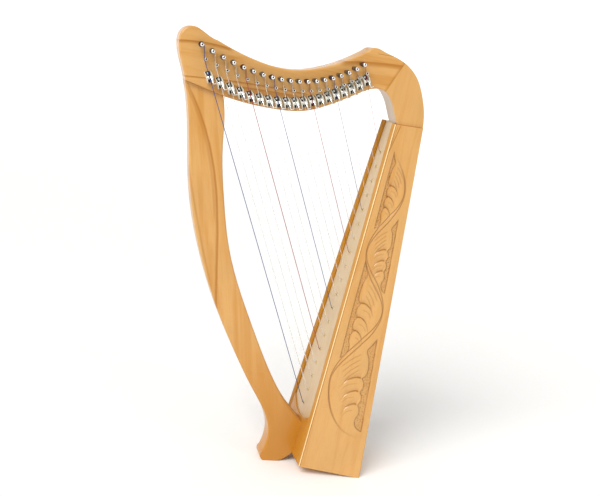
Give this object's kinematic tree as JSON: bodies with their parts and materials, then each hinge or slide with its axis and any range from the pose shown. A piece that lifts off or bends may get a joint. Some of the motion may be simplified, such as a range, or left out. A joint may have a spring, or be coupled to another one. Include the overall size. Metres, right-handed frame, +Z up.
{
  "type": "lever harp",
  "caption": "Small wooden lever harp: curved neck and pillar, tapered carved soundbox, nylon strings, turning tuning pins and flip-up sharping levers.",
  "frame": {"origin": "on the floor, under the middle of the harp's box", "axes": "+Z up, +X from the pillar towards the soundbox and the player, -Y to the side that carries the strings, tuning pin tips and levers"},
  "size_m": [0.4341, 0.1548, 0.7571],
  "materials": {
    "honey_wood": "clear varnish, satin to gloss, honey maple with amber streaks",
    "soundboard_wood": "pale close-grained board, satin",
    "inner_wood": "bare wood, unfinished",
    "nickel": "nickel plate, bright",
    "pin_steel": "plated steel, bright",
    "eyelet_brass": "dull brass",
    "red_nylon": "dyed nylon",
    "blue_nylon": "dyed nylon",
    "clear_nylon": "clear nylon"
  },
  "bodies": {
    "frame": {"neck": "honey_wood", "shoulder": "honey_wood", "pillar": "honey_wood", "soundboard": "soundboard_wood", "string_rib": "inner_wood", "left_side_panel": "honey_wood", "right_side_panel": "honey_wood", "back_panel": "honey_wood", "base_block": "honey_wood", "top_block": "inner_wood", "edge_strips": "honey_wood", "corner_linings": "inner_wood", "joint_pegs": "inner_wood", "string_eyelets": "eyelet_brass", "string_knots": "clear_nylon", "bridge_pins": "nickel", "lever_brackets": "nickel", "lever_axles": "pin_steel", "lever_screws": "pin_steel", "strings_red": "red_nylon", "strings_blue": "blue_nylon", "strings_clear": "clear_nylon"},
    "pin_01": {"tuning_pin_01": "pin_steel"},
    "pin_02": {"tuning_pin_02": "pin_steel"},
    "pin_03": {"tuning_pin_03": "pin_steel"},
    "pin_04": {"tuning_pin_04": "pin_steel"},
    "pin_05": {"tuning_pin_05": "pin_steel"},
    "pin_06": {"tuning_pin_06": "pin_steel"},
    "pin_07": {"tuning_pin_07": "pin_steel"},
    "pin_08": {"tuning_pin_08": "pin_steel"},
    "pin_09": {"tuning_pin_09": "pin_steel"},
    "pin_10": {"tuning_pin_10": "pin_steel"},
    "pin_11": {"tuning_pin_11": "pin_steel"},
    "pin_12": {"tuning_pin_12": "pin_steel"},
    "pin_13": {"tuning_pin_13": "pin_steel"},
    "pin_14": {"tuning_pin_14": "pin_steel"},
    "pin_15": {"tuning_pin_15": "pin_steel"},
    "pin_16": {"tuning_pin_16": "pin_steel"},
    "pin_17": {"tuning_pin_17": "pin_steel"},
    "pin_18": {"tuning_pin_18": "pin_steel"},
    "pin_19": {"tuning_pin_19": "pin_steel"},
    "lever_01": {"lever_01": "nickel"},
    "lever_02": {"lever_02": "nickel"},
    "lever_03": {"lever_03": "nickel"},
    "lever_04": {"lever_04": "nickel"},
    "lever_05": {"lever_05": "nickel"},
    "lever_06": {"lever_06": "nickel"},
    "lever_07": {"lever_07": "nickel"},
    "lever_08": {"lever_08": "nickel"},
    "lever_09": {"lever_09": "nickel"},
    "lever_10": {"lever_10": "nickel"},
    "lever_11": {"lever_11": "nickel"},
    "lever_12": {"lever_12": "nickel"},
    "lever_13": {"lever_13": "nickel"},
    "lever_14": {"lever_14": "nickel"},
    "lever_15": {"lever_15": "nickel"},
    "lever_16": {"lever_16": "nickel"},
    "lever_17": {"lever_17": "nickel"},
    "lever_18": {"lever_18": "nickel"},
    "lever_19": {"lever_19": "nickel"}
  },
  "joints": [
    {"name": "pin_turn_01", "type": "hinge", "parent": "frame", "child": "pin_01", "pos_m": [-0.18205, -0.032, 0.71574], "axis": [0, -1, 0], "continuous": true},
    {"name": "pin_turn_02", "type": "hinge", "parent": "frame", "child": "pin_02", "pos_m": [-0.1636, -0.032, 0.70828], "axis": [0, -1, 0], "continuous": true},
    {"name": "pin_turn_03", "type": "hinge", "parent": "frame", "child": "pin_03", "pos_m": [-0.14562, -0.032, 0.70174], "axis": [0, -1, 0], "continuous": true},
    {"name": "pin_turn_04", "type": "hinge", "parent": "frame", "child": "pin_04", "pos_m": [-0.12809, -0.032, 0.69614], "axis": [0, -1, 0], "continuous": true},
    {"name": "pin_turn_05", "type": "hinge", "parent": "frame", "child": "pin_05", "pos_m": [-0.11102, -0.032, 0.69148], "axis": [0, -1, 0], "continuous": true},
    {"name": "pin_turn_06", "type": "hinge", "parent": "frame", "child": "pin_06", "pos_m": [-0.09438, -0.032, 0.68776], "axis": [0, -1, 0], "continuous": true},
    {"name": "pin_turn_07", "type": "hinge", "parent": "frame", "child": "pin_07", "pos_m": [-0.07816, -0.032, 0.68498], "axis": [0, -1, 0], "continuous": true},
    {"name": "pin_turn_08", "type": "hinge", "parent": "frame", "child": "pin_08", "pos_m": [-0.06235, -0.032, 0.68317], "axis": [0, -1, 0], "continuous": true},
    {"name": "pin_turn_09", "type": "hinge", "parent": "frame", "child": "pin_09", "pos_m": [-0.04695, -0.032, 0.68231], "axis": [0, -1, 0], "continuous": true},
    {"name": "pin_turn_10", "type": "hinge", "parent": "frame", "child": "pin_10", "pos_m": [-0.03194, -0.032, 0.68241], "axis": [0, -1, 0], "continuous": true},
    {"name": "pin_turn_11", "type": "hinge", "parent": "frame", "child": "pin_11", "pos_m": [-0.01733, -0.032, 0.68348], "axis": [0, -1, 0], "continuous": true},
    {"name": "pin_turn_12", "type": "hinge", "parent": "frame", "child": "pin_12", "pos_m": [-0.00309, -0.032, 0.68552], "axis": [0, -1, 0], "continuous": true},
    {"name": "pin_turn_13", "type": "hinge", "parent": "frame", "child": "pin_13", "pos_m": [0.01077, -0.032, 0.68853], "axis": [0, -1, 0], "continuous": true},
    {"name": "pin_turn_14", "type": "hinge", "parent": "frame", "child": "pin_14", "pos_m": [0.02427, -0.032, 0.69252], "axis": [0, -1, 0], "continuous": true},
    {"name": "pin_turn_15", "type": "hinge", "parent": "frame", "child": "pin_15", "pos_m": [0.03739, -0.032, 0.69748], "axis": [0, -1, 0], "continuous": true},
    {"name": "pin_turn_16", "type": "hinge", "parent": "frame", "child": "pin_16", "pos_m": [0.05016, -0.032, 0.70342], "axis": [0, -1, 0], "continuous": true},
    {"name": "pin_turn_17", "type": "hinge", "parent": "frame", "child": "pin_17", "pos_m": [0.06256, -0.032, 0.71034], "axis": [0, -1, 0], "continuous": true},
    {"name": "pin_turn_18", "type": "hinge", "parent": "frame", "child": "pin_18", "pos_m": [0.07461, -0.032, 0.71824], "axis": [0, -1, 0], "continuous": true},
    {"name": "pin_turn_19", "type": "hinge", "parent": "frame", "child": "pin_19", "pos_m": [0.0863, -0.032, 0.72713], "axis": [0, -1, 0], "continuous": true},
    {"name": "lever_flip_01", "type": "hinge", "parent": "frame", "child": "lever_01", "pos_m": [-0.16195, -0.03811, 0.66725], "axis": [-0.9045, 0, -0.4266], "range_deg": [0, 75]},
    {"name": "lever_flip_02", "type": "hinge", "parent": "frame", "child": "lever_02", "pos_m": [-0.14356, -0.03799, 0.6608], "axis": [-0.9043, 0, -0.427], "range_deg": [0, 75]},
    {"name": "lever_flip_03", "type": "hinge", "parent": "frame", "child": "lever_03", "pos_m": [-0.12564, -0.03786, 0.65521], "axis": [-0.904, 0, -0.4275], "range_deg": [0, 75]},
    {"name": "lever_flip_04", "type": "hinge", "parent": "frame", "child": "lever_04", "pos_m": [-0.10818, -0.03772, 0.65049], "axis": [-0.9037, 0, -0.4282], "range_deg": [0, 75]},
    {"name": "lever_flip_05", "type": "hinge", "parent": "frame", "child": "lever_05", "pos_m": [-0.09119, -0.03757, 0.64674], "axis": [-0.9033, 0, -0.429], "range_deg": [0, 75]},
    {"name": "lever_flip_06", "type": "hinge", "parent": "frame", "child": "lever_06", "pos_m": [-0.07529, -0.03755, 0.64521], "axis": [-0.9029, 0, -0.4299], "range_deg": [0, 75]},
    {"name": "lever_flip_07", "type": "hinge", "parent": "frame", "child": "lever_07", "pos_m": [-0.0598, -0.03753, 0.64457], "axis": [-0.9023, 0, -0.431], "range_deg": [0, 75]},
    {"name": "lever_flip_08", "type": "hinge", "parent": "frame", "child": "lever_08", "pos_m": [-0.04473, -0.03751, 0.64482], "axis": [-0.9018, 0, -0.4323], "range_deg": [0, 75]},
    {"name": "lever_flip_09", "type": "hinge", "parent": "frame", "child": "lever_09", "pos_m": [-0.03007, -0.0375, 0.64596], "axis": [-0.9011, 0, -0.4336], "range_deg": [0, 75]},
    {"name": "lever_flip_10", "type": "hinge", "parent": "frame", "child": "lever_10", "pos_m": [-0.0158, -0.0375, 0.64799], "axis": [-0.9004, 0, -0.4351], "range_deg": [0, 75]},
    {"name": "lever_flip_11", "type": "hinge", "parent": "frame", "child": "lever_11", "pos_m": [-0.00192, -0.03749, 0.65092], "axis": [-0.8996, 0, -0.4368], "range_deg": [0, 75]},
    {"name": "lever_flip_12", "type": "hinge", "parent": "frame", "child": "lever_12", "pos_m": [0.01158, -0.0375, 0.65475], "axis": [-0.8987, 0, -0.4386], "range_deg": [0, 75]},
    {"name": "lever_flip_13", "type": "hinge", "parent": "frame", "child": "lever_13", "pos_m": [0.0247, -0.03752, 0.65949], "axis": [-0.8977, 0, -0.4405], "range_deg": [0, 75]},
    {"name": "lever_flip_14", "type": "hinge", "parent": "frame", "child": "lever_14", "pos_m": [0.03744, -0.03755, 0.66514], "axis": [-0.8967, 0, -0.4426], "range_deg": [0, 75]},
    {"name": "lever_flip_15", "type": "hinge", "parent": "frame", "child": "lever_15", "pos_m": [0.04981, -0.0376, 0.67169], "axis": [-0.8956, 0, -0.4448], "range_deg": [0, 75]},
    {"name": "lever_flip_16", "type": "hinge", "parent": "frame", "child": "lever_16", "pos_m": [0.06227, -0.03745, 0.67826], "axis": [-0.8944, 0, -0.4472], "range_deg": [0, 75]},
    {"name": "lever_flip_17", "type": "hinge", "parent": "frame", "child": "lever_17", "pos_m": [0.07462, -0.03714, 0.68521], "axis": [-0.8932, 0, -0.4497], "range_deg": [0, 75]},
    {"name": "lever_flip_18", "type": "hinge", "parent": "frame", "child": "lever_18", "pos_m": [0.08663, -0.03677, 0.69308], "axis": [-0.8919, 0, -0.4523], "range_deg": [0, 75]},
    {"name": "lever_flip_19", "type": "hinge", "parent": "frame", "child": "lever_19", "pos_m": [0.09827, -0.03632, 0.70187], "axis": [-0.8905, 0, -0.455], "range_deg": [0, 75]}
  ]
}
